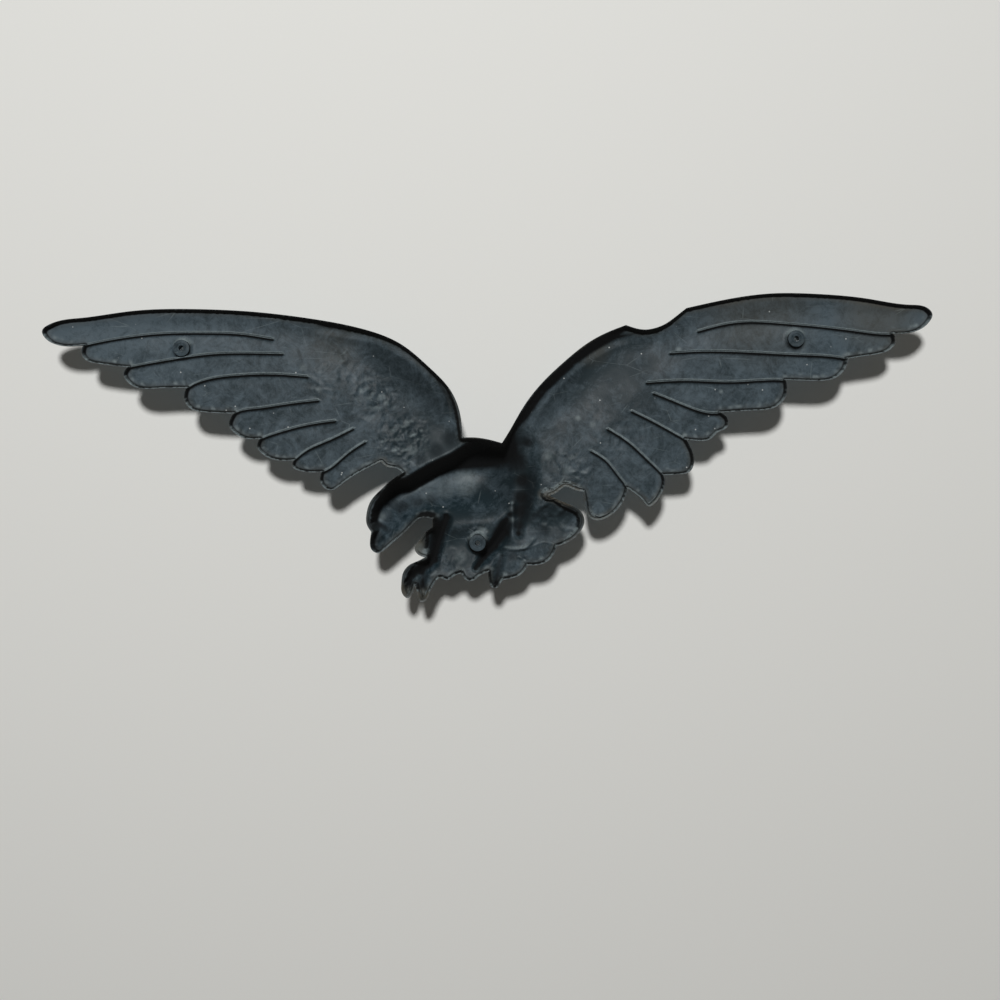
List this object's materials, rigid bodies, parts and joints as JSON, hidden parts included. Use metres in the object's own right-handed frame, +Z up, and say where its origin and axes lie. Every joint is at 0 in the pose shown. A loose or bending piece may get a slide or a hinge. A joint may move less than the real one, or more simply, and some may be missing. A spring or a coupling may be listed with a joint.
{
  "type": "eagle wall plaque",
  "caption": "Hollow moulded plaque of an eagle in flight with spread wings, raised feather lines, an open back with a thin rim, and posts with screw holes for hanging on a wall.",
  "frame": {"origin": "where the axis of the body's screw hole meets the wall plane, which is the plane of the rim", "axes": "+X to the right as the front is seen (towards the wing above the head), +Y into the wall, +Z up"},
  "size_m": [0.6101, 0.0366, 0.2117],
  "materials": {
    "black_plastic": "semi-matte moulded plastic, dusty and lightly scratched"
  },
  "bodies": {
    "root": {"right_wing": "black_plastic", "right_wing_screw_post": "black_plastic", "left_wing": "black_plastic", "left_wing_screw_post": "black_plastic", "body": "black_plastic", "body_screw_post": "black_plastic", "head": "black_plastic", "front_leg": "black_plastic", "rear_leg": "black_plastic", "tail": "black_plastic"}
  },
  "joints": []
}
